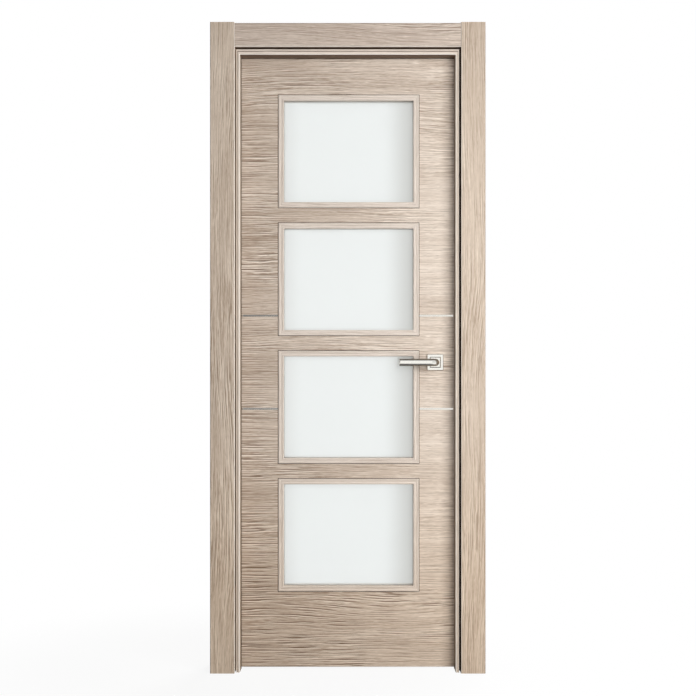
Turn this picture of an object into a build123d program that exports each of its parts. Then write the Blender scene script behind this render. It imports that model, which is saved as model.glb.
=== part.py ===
from build123d import *
import os

# Glazed interior door set: an oak-veneered leaf with a column of etched panes in a rebated, moulded frame.
# Millimetres. X runs across the doorway from the hinge side, Y runs away from the push side, Z is up.
# The origin is on the hinge jamb's wall face, at floor level, half-way through the jamb's depth.

# Leaf
LEAF_WIDTH = 725.0
LEAF_HEIGHT = 2030.0
LEAF_THICKNESS = 35.0
LEAF_ARRIS = 1.0

# Gaps round the leaf, with more at the lock edge, which widens its path as it swings
HINGE_GAP = 5.0
LOCK_GAP = 6.5
HEAD_GAP = 5.0
FLOOR_GAP = 5.0
STOP_GAP = 5.0

# Jambs and head, one section all round, but with a wider moulding and stop along the head
JAMB_DEPTH = 90.0
JAMB_THICKNESS = 36.0
STOP_STEP = 16.0
HEAD_WIDENING = 1.45
JAMB_BACK_ARRIS = 1.5
SHADOW_GROOVE_WIDTH = 4.6
SHADOW_GROOVE_DEPTH = 26.0
FILLET_FLAT = 3.4
FILLET_QUIRK = 2.2
FILLET_QUIRK_DEPTH = 5.0
STOP_ARRIS = 3.5

# Rubber seal, its fin pressed into a kerf in the stop and its lip showing past the stop's edge
SEAL_WIDTH = 10.0
SEAL_LIP = 1.2
SEAL_CLEARANCE = 0.8
SEAL_ROUND = 1.8
FIN_WIDTH = 3.0
FIN_DEPTH = 6.0

# Architraves, the head one butted between the side ones
ARCHITRAVE_WIDTH = 80.0
HEAD_ARCHITRAVE_WIDTH = 77.0
ARCHITRAVE_THICKNESS = 12.0
ARCHITRAVE_ARRIS = 3.0
ARCHITRAVE_HORN = 3.0
FRONT_REVEAL = 16.0
BARREL_TO_ARCHITRAVE = 6.0

# Panes, one above the other
PANE_COUNT = 4
HINGE_STILE = 134.0
LOCK_STILE = 127.0
TOP_RAIL = 140.0
CROSS_RAIL = 51.0
BOTTOM_RAIL = 250.0
GLASS_THICKNESS = 5.0
GLASS_EDGE_CLEARANCE = 2.0

# Glazing beads, mitred, with a lip in a rebate of the leaf's face and a leg down to the glass
BEAD_WIDTH = 18.0
BEAD_LAP = 8.0
BEAD_PROUD = 4.0
BEAD_RIDGE = 5.0
BEAD_QUIRK = 1.2
BEAD_EASE = 1.2
BEAD_CLEARANCE = 0.2
BEAD_REBATE = 3.0
BEAD_SHADOW_GAP = 2.0

# Metal inlays, let in flush across both stiles
INLAY_OFFSET = 154.0
INLAY_WIDTH = 6.0
INLAY_DEPTH = 1.5

# Lever handle
HANDLE_HEIGHT = 1012.0
HANDLE_BACKSET = 73.0
ROSETTE_SIDE = 53.0
ROSETTE_THICKNESS = 8.0
ROSETTE_CORNER = 2.5
ROSETTE_EASE = 1.2
BOSS_SIDE = 36.0
BOSS_HEIGHT = 4.0
BOSS_TAPER = 35.0
LEVER_DIAMETER = 24.0
LEVER_REACH = 121.0
LEVER_PROJECTION = 50.0
LEVER_BEND = 18.0
LEVER_BEND_STEPS = 4
LEVER_END_EASE = 1.5
NECK_CLEARANCE = 0.2
NECK_SEAT = 1.0
SPINDLE_SIDE = 8.0
SPINDLE_CLEARANCE = 0.1
SPINDLE_BORE = 20.0
SOCKET_DEPTH = 18.0

# Lift-off hinges on the pull side
HINGE_INSETS = (220.0, 180.0)
HINGE_HEIGHT = 80.0
PLATE_WIDTH = 30.0
PLATE_THICKNESS = 2.5
BARREL_DIAMETER = 13.0
BARREL_TO_LEAF = 3.5
BARREL_EASE = 2.0
KNUCKLE_GAP = 0.4
PIN_DIAMETER = 8.0
PIN_CLEARANCE = 0.05
PIN_LENGTH = 30.0
PIN_EASE = 1.0

# Latch in the lock edge and its strike plate
FOREND_WIDTH = 20.0
FOREND_HEIGHT = 170.0
STRIKE_WIDTH = 24.0
STRIKE_HEIGHT = 120.0
LATCH_PLATE = 2.5
BOLT_WIDTH = 12.0
BOLT_HEIGHT = 20.0
BOLT_LENGTH = 25.0
BOLT_CLEARANCE = 0.2
STRIKE_HOLE_ROOM = 1.0
STRIKE_POCKET = 12.0

# Across the doorway
hinge_rebate = JAMB_THICKNESS - STOP_STEP
reveal_edge = JAMB_THICKNESS - FRONT_REVEAL
mitre_reach = JAMB_THICKNESS + SEAL_LIP
head_reach = reveal_edge + (mitre_reach - reveal_edge) * HEAD_WIDENING
leaf_left = hinge_rebate + HINGE_GAP
leaf_right = leaf_left + LEAF_WIDTH
lock_rebate = leaf_right + LOCK_GAP
frame_width = lock_rebate + hinge_rebate
pane_left = leaf_left + HINGE_STILE
pane_right = leaf_right - LOCK_STILE
handle_x = leaf_right - HANDLE_BACKSET

# Up the doorway
leaf_bottom = FLOOR_GAP
leaf_top = leaf_bottom + LEAF_HEIGHT
head_rebate = leaf_top + HEAD_GAP
frame_height = head_rebate + hinge_rebate
pane_height = (LEAF_HEIGHT - TOP_RAIL - BOTTOM_RAIL - CROSS_RAIL * (PANE_COUNT - 1)) / PANE_COUNT
inlay_heights = (HANDLE_HEIGHT - INLAY_OFFSET, HANDLE_HEIGHT + INLAY_OFFSET)

# Through the doorway, with the leaf's back face flush with the jamb's back edge
jamb_front = -JAMB_DEPTH / 2
jamb_back = JAMB_DEPTH / 2
leaf_back = jamb_back
leaf_front = leaf_back - LEAF_THICKNESS
leaf_middle = (leaf_front + leaf_back) / 2
stop_face = leaf_front - STOP_GAP

# Hinge axis, in the middle of the gap and behind the leaf
axis_x = hinge_rebate + HINGE_GAP / 2
axis_y = leaf_back + BARREL_DIAMETER / 2 + BARREL_TO_LEAF
hinge_bottom = leaf_bottom + HINGE_INSETS[0]
hinge_top = leaf_top - HINGE_INSETS[1]
hinge_heights = (hinge_bottom, (hinge_bottom + hinge_top) / 2, hinge_top)

# Overshoot of cutting blocks past the faces that they open
OVERCUT = 1.0


def block(x_limits, y_limits, z_limits):
    """Rectangular block between limits along each axis."""
    limits = (x_limits, y_limits, z_limits)
    sizes = [high - low for low, high in limits]
    middles = [(high + low) / 2 for low, high in limits]
    return Pos(*middles) * Box(*sizes)


def about(middle, size):
    """Limits of a length centred on a point."""
    return (middle - size / 2, middle + size / 2)


def eased(section, corners, radius):
    """Section with the corners nearest the given points rounded."""
    picked = [section.vertices().sort_by_distance((*corner, 0))[0] for corner in corners]
    return fillet(picked, radius)


def front_prism(points):
    """Prism through the whole depth whose outline from the front has the given (x, z) corners."""
    outline = Plane.XZ * make_face(Polyline(*points, close=True))
    return extrude(outline, JAMB_DEPTH, both=True)


def opposite(solid):
    """The same piece for the other side of the doorway."""
    return mirror(solid, about=Plane(origin=(frame_width / 2, 0, 0), z_dir=(1, 0, 0)))


def pull_side(solid):
    """The same piece for the leaf's other face."""
    return mirror(solid, about=Plane(origin=(0, leaf_middle, 0), z_dir=(0, 1, 0)))


def stop_edge(widening):
    """Distance of the stop's edge from the wall face."""
    return reveal_edge + FRONT_REVEAL * widening


def seal_middle(widening):
    """Distance of the seal's kerf from the wall face."""
    return (hinge_rebate + stop_edge(widening)) / 2


def jamb_section(widening):
    """Plan of the hinge jamb: wall face on x = 0, rebate at the back, moulded edge at the front."""
    groove_end = reveal_edge + SHADOW_GROOVE_WIDTH * widening
    groove_floor = jamb_front + SHADOW_GROOVE_DEPTH
    quirk_start = groove_end + FILLET_FLAT * widening
    quirk_end = quirk_start + FILLET_QUIRK * widening
    quirk_floor = jamb_front + FILLET_QUIRK_DEPTH
    edge = stop_edge(widening)
    kerf_floor = stop_face - FIN_DEPTH
    kerf = about(seal_middle(widening), FIN_WIDTH)
    outline = Polyline(
        (0, jamb_front),
        (reveal_edge, jamb_front),
        (reveal_edge, groove_floor),
        (groove_end, groove_floor),
        (groove_end, jamb_front),
        (quirk_start, jamb_front),
        (quirk_start, quirk_floor),
        (quirk_end, quirk_floor),
        (quirk_end, jamb_front),
        (edge, jamb_front),
        (edge, stop_face),
        (kerf[1], stop_face),
        (kerf[1], kerf_floor),
        (kerf[0], kerf_floor),
        (kerf[0], stop_face),
        (hinge_rebate, stop_face),
        (hinge_rebate, jamb_back),
        (0, jamb_back),
        close=True,
    )
    section = make_face(outline)
    section = eased(section, [(edge, jamb_front)], STOP_ARRIS)
    return eased(section, [(0, jamb_front), (0, jamb_back)], JAMB_BACK_ARRIS)


def seal_section(widening):
    """Plan of the hinge jamb's seal: a rounded pad on the stop, with its lip and a fin in the kerf."""
    middle = seal_middle(widening)
    pad_face = leaf_front - SEAL_CLEARANCE
    pad = (middle - SEAL_WIDTH / 2, stop_edge(widening) + SEAL_LIP * widening)
    fin = about(middle, FIN_WIDTH)
    outline = Polyline(
        (pad[0], stop_face),
        (fin[0], stop_face),
        (fin[0], stop_face - FIN_DEPTH),
        (fin[1], stop_face - FIN_DEPTH),
        (fin[1], stop_face),
        (pad[1], stop_face),
        (pad[1], pad_face),
        (pad[0], pad_face),
        close=True,
    )
    return eased(make_face(outline), [(pad[0], pad_face), (pad[1], pad_face)], SEAL_ROUND)


def upright_member(section):
    """Section run up the hinge side from the floor, mitred into the head, more steeply at its moulding."""
    wall_side = [
        (0, 0),
        (mitre_reach, 0),
        (mitre_reach, frame_height - head_reach),
        (reveal_edge, frame_height - reveal_edge),
        (0, frame_height),
    ]
    return extrude(section, frame_height) & front_prism(wall_side)


def head_member(section):
    """The widened section run across the head, mitred at both ends."""
    across = Plane(origin=(0, 0, frame_height), x_dir=(0, 0, -1), z_dir=(1, 0, 0))
    under_wall = [
        (0, frame_height),
        (reveal_edge, frame_height - reveal_edge),
        (mitre_reach, frame_height - head_reach),
        (frame_width - mitre_reach, frame_height - head_reach),
        (frame_width - reveal_edge, frame_height - reveal_edge),
        (frame_width, frame_height),
    ]
    return extrude(across * section, frame_width) & front_prism(under_wall)


def architrave_section(width):
    """Board lying on y = 0, with its face towards -y and its length to come along z."""
    board = Pos(width / 2, -ARCHITRAVE_THICKNESS / 2) * Rectangle(width, ARCHITRAVE_THICKNESS)
    face_corners = [(0, -ARCHITRAVE_THICKNESS), (width, -ARCHITRAVE_THICKNESS)]
    return eased(board, face_corners, ARCHITRAVE_ARRIS)


def architraves(inner_edge, head_edge):
    """Left, right and head boards for the push side, from the inner edges that they show."""
    top = head_edge + HEAD_ARCHITRAVE_WIDTH
    upright = extrude(architrave_section(ARCHITRAVE_WIDTH), top + ARCHITRAVE_HORN)
    left = Pos(inner_edge - ARCHITRAVE_WIDTH, jamb_front, 0) * upright
    across = Plane(origin=(inner_edge, jamb_front, top), x_dir=(0, 0, -1), z_dir=(1, 0, 0))
    head = extrude(across * architrave_section(HEAD_ARCHITRAVE_WIDTH), frame_width - 2 * inner_edge)
    return left, opposite(left), head


def through_wall(solid):
    """The same board for the wall's other face."""
    return mirror(solid, about=Plane.XZ)


def pane_middles():
    """Heights of the panes' middles, from the bottom one up."""
    lowest = leaf_bottom + BOTTOM_RAIL + pane_height / 2
    return [lowest + index * (pane_height + CROSS_RAIL) for index in range(PANE_COUNT)]


def bead_stick(length):
    """One push-side bead along x, centred on x = 0, outer edge on z = 0 and the leaf's face on y = 0."""
    leg = (LEAF_THICKNESS - GLASS_THICKNESS) / 2
    leg_side = BEAD_LAP + BEAD_CLEARANCE
    inner_ridge = BEAD_WIDTH - BEAD_RIDGE
    quirk = BEAD_PROUD - BEAD_QUIRK
    outline = Polyline(
        (0, -BEAD_REBATE),
        (0, BEAD_PROUD - BEAD_EASE),
        (BEAD_EASE, BEAD_PROUD),
        (BEAD_RIDGE, BEAD_PROUD),
        (BEAD_RIDGE + BEAD_QUIRK, quirk),
        (inner_ridge - BEAD_QUIRK, quirk),
        (inner_ridge, BEAD_PROUD),
        (BEAD_WIDTH - BEAD_EASE, BEAD_PROUD),
        (BEAD_WIDTH, BEAD_PROUD - BEAD_EASE),
        (BEAD_WIDTH, -leg),
        (leg_side, -leg),
        (leg_side, -BEAD_REBATE),
        close=True,
    )
    half = length / 2
    along = Plane(origin=(-half, 0, 0), x_dir=(0, 0, 1), z_dir=(1, 0, 0))
    run = extrude(along * make_face(outline), length)
    mitre = [(-half, 0), (half, 0), (half - BEAD_WIDTH, BEAD_WIDTH), (BEAD_WIDTH - half, BEAD_WIDTH)]
    return run & front_prism(mitre)


def pane_beads():
    """Push-side beads of every pane, as the sticks that lie across and the sticks that stand upright."""
    pane_width = pane_right - pane_left
    lying = Pos(0, 0, -pane_height / 2) * bead_stick(pane_width)
    standing = Pos(0, 0, -pane_width / 2) * bead_stick(pane_height)
    across = []
    upright = []
    for height in pane_middles():
        place = Pos((pane_left + pane_right) / 2, leaf_front, height)
        across += [place * Rot(0, turn, 0) * lying for turn in (0, 180)]
        upright += [place * Rot(0, turn, 0) * standing for turn in (90, 270)]
    return across, upright


def leaf_blank():
    """Plain leaf with eased arrises."""
    blank = block((leaf_left, leaf_right), (leaf_front, leaf_back), (leaf_bottom, leaf_top))
    return chamfer(blank.edges(), LEAF_ARRIS)


def inlays(blank):
    """Push-side inlay strips, from the leaf's edges to the bead frames' rebates."""
    depth = (leaf_front, leaf_front + INLAY_DEPTH)
    runs = ((leaf_left, pane_left - BEAD_SHADOW_GAP), (pane_right + BEAD_SHADOW_GAP, leaf_right))
    strips = [block(run, depth, about(height, INLAY_WIDTH)) for height in inlay_heights for run in runs]
    return [strip & blank for strip in strips]


def hinge_plate(face_x, into):
    """Limits of a hinge plate let into an upright face; into is -1 for the jamb and 1 for the leaf."""
    sides = sorted((face_x, face_x + into * PLATE_THICKNESS))
    return tuple(sides), (leaf_back - PLATE_WIDTH, leaf_back)


def hinge_recess(face_x, into, height):
    """Recess for a hinge plate, open at the back."""
    sides, depth = hinge_plate(face_x, into)
    return block(sides, (depth[0], depth[1] + OVERCUT), about(height, HINGE_HEIGHT))


def knuckle(low, high, outer_end):
    """Barrel of a hinge half round the axis, with its outer end eased."""
    barrel = Pos(axis_x, axis_y, (low + high) / 2) * Cylinder(BARREL_DIAMETER / 2, high - low)
    end = barrel.edges().filter_by(GeomType.CIRCLE).sort_by(Axis.Z)[outer_end]
    return chamfer(end, BARREL_EASE)


def hinge_half(face_x, into, height, span, outer_end):
    """Plate, tongue and knuckle of one hinge half."""
    sides, depth = hinge_plate(face_x, into)
    plate = block(sides, depth, about(height, HINGE_HEIGHT))
    tongue = block(sides, (depth[1] - OVERCUT, axis_y), span)
    return plate + tongue + knuckle(*span, outer_end)


def frame_hinge_half(height):
    """Lower half, on the jamb, with the pin that carries the leaf."""
    span = (height - HINGE_HEIGHT / 2, height - KNUCKLE_GAP / 2)
    pin_base = span[0] + BARREL_EASE
    pin_top = span[1] + PIN_LENGTH
    pin = Pos(axis_x, axis_y, (pin_base + pin_top) / 2) * Cylinder(PIN_DIAMETER / 2, pin_top - pin_base)
    pin = chamfer(pin.edges().filter_by(GeomType.CIRCLE).sort_by(Axis.Z)[-1], PIN_EASE)
    return hinge_half(hinge_rebate, -1, height, span, 0) + pin


def leaf_hinge_half(height):
    """Upper half, on the leaf, bored to drop over the pin."""
    span = (height + KNUCKLE_GAP / 2, height + HINGE_HEIGHT / 2)
    bore_depth = PIN_LENGTH + KNUCKLE_GAP
    bore = Pos(axis_x, axis_y, span[0] + bore_depth / 2 - OVERCUT) * Cylinder(
        PIN_DIAMETER / 2 + PIN_CLEARANCE, bore_depth + 2 * OVERCUT
    )
    return hinge_half(leaf_left, 1, height, span, -1) - bore


def lock_edge_block(face_x, into, depth, width, height):
    """Block let into an upright face on the lock side, centred on the latch."""
    sides = sorted((face_x, face_x + into * depth))
    return block(tuple(sides), about(leaf_middle, width), about(HANDLE_HEIGHT, height))


def bolt_room(face_x, into, depth, room):
    """Space for the latch bolt behind an upright face, with room round the bolt."""
    return lock_edge_block(face_x, into, depth, BOLT_WIDTH + 2 * room, BOLT_HEIGHT + 2 * room)


def pane_cuts(height):
    """Hole for a pane through the leaf, and the beads' rebates in both faces."""
    hole = block(
        (pane_left + BEAD_LAP, pane_right - BEAD_LAP),
        about(leaf_middle, JAMB_DEPTH),
        about(height, pane_height - 2 * BEAD_LAP),
    )
    rebate = block(
        (pane_left - BEAD_SHADOW_GAP, pane_right + BEAD_SHADOW_GAP),
        (leaf_front - OVERCUT, leaf_front + BEAD_REBATE),
        about(height, pane_height + 2 * BEAD_SHADOW_GAP),
    )
    return hole, rebate, pull_side(rebate)


def leaf_slab(blank, strips):
    """Leaf cut out for the panes, the inlays, the spindle, the hinges and the latch."""
    slab = blank
    for height in pane_middles():
        for cut in pane_cuts(height):
            slab -= cut
    for strip in strips:
        slab -= strip
    bore_turn = Pos(handle_x, leaf_middle, HANDLE_HEIGHT) * Rot(90, 0, 0)
    slab -= bore_turn * Cylinder(SPINDLE_BORE / 2, JAMB_DEPTH)
    for height in hinge_heights:
        slab -= hinge_recess(leaf_left, 1, height)
    slab -= lock_edge_block(leaf_right, -1, LATCH_PLATE, FOREND_WIDTH, FOREND_HEIGHT)
    return slab - bolt_room(leaf_right, -1, BOLT_LENGTH, BOLT_CLEARANCE)


def glass_pane(height):
    """Etched pane in the middle of the leaf's thickness."""
    inset = BEAD_LAP + GLASS_EDGE_CLEARANCE
    return block(
        (pane_left + inset, pane_right - inset),
        about(leaf_middle, GLASS_THICKNESS),
        about(height, pane_height - 2 * inset),
    )


def rosette():
    """Square push-side rosette with a tapered square boss, bored for the lever's neck."""
    seat = Plane(origin=(handle_x, leaf_front, HANDLE_HEIGHT), z_dir=(0, -1, 0))
    plate = extrude(seat * RectangleRounded(ROSETTE_SIDE, ROSETTE_SIDE, ROSETTE_CORNER), ROSETTE_THICKNESS)
    plate = chamfer(plate.faces().sort_by(Axis.Y)[0].edges(), ROSETTE_EASE)
    face = seat.offset(ROSETTE_THICKNESS)
    boss = extrude(face * Rectangle(BOSS_SIDE, BOSS_SIDE), BOSS_HEIGHT, taper=BOSS_TAPER)
    bore = extrude(seat * Circle(LEVER_DIAMETER / 2 + NECK_CLEARANCE), ROSETTE_THICKNESS + BOSS_HEIGHT)
    return plate + boss - bore


def lever():
    """Round-bar push-side lever: a neck out of the rosette, bent to a straight grip towards the hinges."""
    neck_end = leaf_front - NECK_SEAT
    grip_y = leaf_front - LEVER_PROJECTION
    bend = TangentArc(
        (handle_x, grip_y + LEVER_BEND, HANDLE_HEIGHT),
        (handle_x - LEVER_BEND, grip_y, HANDLE_HEIGHT),
        tangent=(0, -1, 0),
    )
    route = Polyline(
        (handle_x, neck_end, HANDLE_HEIGHT),
        *[bend @ (step / LEVER_BEND_STEPS) for step in range(LEVER_BEND_STEPS + 1)],
        (handle_x - LEVER_REACH, grip_y, HANDLE_HEIGHT),
    )
    start = Plane(origin=(handle_x, neck_end, HANDLE_HEIGHT), z_dir=(0, -1, 0))
    bar = sweep(start * Circle(LEVER_DIAMETER / 2), path=route, transition=Transition.RIGHT)
    bar = chamfer(bar.faces().sort_by(Axis.X)[0].edges(), LEVER_END_EASE)
    side = SPINDLE_SIDE + 2 * SPINDLE_CLEARANCE
    socket = block(
        about(handle_x, side),
        (neck_end - SOCKET_DEPTH, neck_end + OVERCUT),
        about(HANDLE_HEIGHT, side),
    )
    return bar - socket


def spindle():
    """Square bar through the leaf, from the bottom of one lever's socket to the other's."""
    end_room = NECK_SEAT + SOCKET_DEPTH - SPINDLE_CLEARANCE
    length = LEAF_THICKNESS + 2 * end_room
    return block(
        about(handle_x, SPINDLE_SIDE),
        about(leaf_middle, length),
        about(HANDLE_HEIGHT, SPINDLE_SIDE),
    )


def frame_nodes():
    """Everything that stays on the wall."""
    side_jamb = upright_member(jamb_section(1))
    hinge_jamb = side_jamb
    for height in hinge_heights:
        hinge_jamb -= hinge_recess(hinge_rebate, -1, height)
    strike = lock_edge_block(lock_rebate, 1, LATCH_PLATE, STRIKE_WIDTH, STRIKE_HEIGHT)
    lock_jamb = opposite(side_jamb) - strike
    pocket_depth = LATCH_PLATE + STRIKE_POCKET
    lock_jamb -= bolt_room(lock_rebate, 1, pocket_depth, STRIKE_HOLE_ROOM)
    side_seal = upright_member(seal_section(1))
    nodes = {
        "hinge_jamb": hinge_jamb,
        "lock_jamb": lock_jamb,
        "head_jamb": head_member(jamb_section(HEAD_WIDENING)),
        "hinge_jamb_seal": side_seal,
        "lock_jamb_seal": opposite(side_seal),
        "head_seal": head_member(seal_section(HEAD_WIDENING)),
        "strike_plate": strike - bolt_room(lock_rebate, 1, LATCH_PLATE, STRIKE_HOLE_ROOM),
    }
    back_edge = axis_x - BARREL_DIAMETER / 2 - BARREL_TO_ARCHITRAVE
    front = architraves(reveal_edge, frame_height - reveal_edge)
    back = [through_wall(board) for board in architraves(back_edge, frame_height - back_edge)]
    for face, boards in (("front", front), ("back", back)):
        for place, board in zip(("left", "right", "head"), boards):
            nodes[f"{face}_architrave_{place}"] = board
    for number, height in enumerate(hinge_heights, 1):
        nodes[f"hinge_frame_half_{number}"] = frame_hinge_half(height)
    return nodes


def leaf_nodes():
    """Everything that swings with the leaf."""
    blank = leaf_blank()
    front_strips = inlays(blank)
    back_strips = [pull_side(strip) for strip in front_strips]
    across, upright = pane_beads()
    forend = lock_edge_block(leaf_right, -1, LATCH_PLATE, FOREND_WIDTH, FOREND_HEIGHT)
    nodes = {
        "leaf_slab": leaf_slab(blank, front_strips + back_strips),
        "front_beads_across": Compound(across),
        "front_beads_upright": Compound(upright),
        "back_beads_across": Compound([pull_side(stick) for stick in across]),
        "back_beads_upright": Compound([pull_side(stick) for stick in upright]),
        "front_inlays": Compound(front_strips),
        "back_inlays": Compound(back_strips),
        "latch_forend": forend - bolt_room(leaf_right, -1, LATCH_PLATE, BOLT_CLEARANCE),
        "latch_bolt": bolt_room(leaf_right, -1, BOLT_LENGTH, 0),
        "front_rosette": rosette(),
        "back_rosette": pull_side(rosette()),
    }
    for number, height in enumerate(pane_middles(), 1):
        nodes[f"glass_pane_{number}"] = glass_pane(height)
    for number, height in enumerate(hinge_heights, 1):
        nodes[f"hinge_leaf_half_{number}"] = leaf_hinge_half(height)
    return nodes


def handle_nodes():
    """Everything that turns with the handle."""
    return {
        "front_lever": lever(),
        "back_lever": pull_side(lever()),
        "spindle": spindle(),
    }


os.makedirs("parts", exist_ok=True)
for name, shape in {**frame_nodes(), **leaf_nodes(), **handle_nodes()}.items():
    export_step(shape, f"parts/{name}.step")
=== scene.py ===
"""Looks of a glazed interior door set: oak veneer, etched panes, satin nickel levers and a pale studio."""

import logging
import math
from dataclasses import dataclass
from enum import Enum
from typing import Any, Mapping, Optional, Sequence, Union

import bmesh
import bpy
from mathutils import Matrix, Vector


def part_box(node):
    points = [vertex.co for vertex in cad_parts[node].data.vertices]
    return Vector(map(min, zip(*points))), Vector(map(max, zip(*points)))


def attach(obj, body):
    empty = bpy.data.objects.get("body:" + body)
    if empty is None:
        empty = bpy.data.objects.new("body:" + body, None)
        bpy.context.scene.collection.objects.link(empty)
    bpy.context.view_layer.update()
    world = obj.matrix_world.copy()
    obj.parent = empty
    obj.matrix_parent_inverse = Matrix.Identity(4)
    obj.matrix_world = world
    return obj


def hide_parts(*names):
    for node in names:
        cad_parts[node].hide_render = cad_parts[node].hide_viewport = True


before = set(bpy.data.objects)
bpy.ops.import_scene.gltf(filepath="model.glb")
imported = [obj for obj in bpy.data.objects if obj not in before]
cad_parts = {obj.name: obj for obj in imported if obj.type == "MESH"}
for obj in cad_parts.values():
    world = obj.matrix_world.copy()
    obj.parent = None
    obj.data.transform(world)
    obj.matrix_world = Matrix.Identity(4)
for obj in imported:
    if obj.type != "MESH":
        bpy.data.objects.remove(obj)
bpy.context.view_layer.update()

LOG = logging.getLogger("glazed_door")

Colour = tuple[float, float, float, float]
Value = Union["Wire", float]
Span = tuple[float, float]
Corners = list[bmesh.types.BMVert]


def srgb(red: int, green: int, blue: int) -> Colour:
    """Linear colour of a picture's 0 to 255 values.

    Args:
        red: Red level.
        green: Green level.
        blue: Blue level.

    Returns:
        Linear red, green, blue and a full alpha.
    """
    levels = [level / 255 for level in (red, green, blue)]
    linear = [level / 12.92 if level <= 0.04045 else ((level + 0.055) / 1.055) ** 2.4 for level in levels]
    return (linear[0], linear[1], linear[2], 1.0)


WHITE = srgb(255, 255, 255)
# Painted highlights: on eased edges, and on edges and faces that turn to the doorway.
PAINTED_EDGE_HIGHLIGHT = srgb(240, 229, 217)
PAINTED_DOORWAY_HIGHLIGHT = srgb(255, 249, 240)
# Painted highlight on a jamb's front lip.
PAINTED_LIP_HIGHLIGHT = srgb(235, 223, 211)
# Painted shade on the faces of a jamb that turn down.
PAINTED_SOFFIT_SHADE = srgb(116, 98, 84)
# Core board's colour, darkened as painted shade in the rebates round the beads.
CORE_AND_PAINTED_SHADE = srgb(58, 42, 33)
WARM_TINT = srgb(255, 244, 230)
# Painted shade and dark reflection on a lever's upper and lower flanks.
PAINTED_FLANK_SHADE = srgb(112, 110, 102)

DOORWAY_MIDDLE = 0.39
INWARD_TURN = (0.3, 0.6)
CRISP_ANGLE = math.radians(32)


class Wire:
    """A shader value whose arithmetic adds Math nodes to its recipe."""

    def __init__(self, recipe: "Recipe", socket: bpy.types.NodeSocket) -> None:
        """Wrap one output socket."""
        self.recipe = recipe
        self.socket = socket

    def _math(self, operation: str, *values: Value) -> "Wire":
        """Add one Math node.

        Args:
            operation: Blender's name for the operation.
            values: Its inputs in order, wires or numbers.

        Returns:
            The node's result.
        """
        inputs = dict(enumerate(values))
        return self.recipe.add("ShaderNodeMath", {"operation": operation}, inputs)["Value"]

    def __add__(self, other: Value) -> "Wire":
        """Sum."""
        return self._math("ADD", self, other)

    def __radd__(self, other: Value) -> "Wire":
        """Sum, with the number first."""
        return self._math("ADD", other, self)

    def __sub__(self, other: Value) -> "Wire":
        """Difference."""
        return self._math("SUBTRACT", self, other)

    def __rsub__(self, other: Value) -> "Wire":
        """Difference, with the number first."""
        return self._math("SUBTRACT", other, self)

    def __mul__(self, other: Value) -> "Wire":
        """Product."""
        return self._math("MULTIPLY", self, other)

    def __rmul__(self, other: Value) -> "Wire":
        """Product, with the number first."""
        return self._math("MULTIPLY", other, self)

    def __abs__(self) -> "Wire":
        """Size without its sign."""
        return self._math("ABSOLUTE", self)

    def __gt__(self, other: Value) -> "Wire":
        """One where this is the larger, nought elsewhere."""
        return self._math("GREATER_THAN", self, other)

    def __lt__(self, other: Value) -> "Wire":
        """One where this is the smaller, nought elsewhere."""
        return self._math("LESS_THAN", self, other)

    def larger(self, other: Value) -> "Wire":
        """The larger of two values."""
        return self._math("MAXIMUM", self, other)


class Placed:
    """A node in a recipe, whose outputs are read by name."""

    def __init__(self, recipe: "Recipe", node: bpy.types.Node) -> None:
        """Keep the node with its recipe."""
        self.recipe = recipe
        self.node = node

    def __getitem__(self, name: Union[str, int]) -> Wire:
        """One output of the node."""
        return Wire(self.recipe, self.node.outputs[name])


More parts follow.
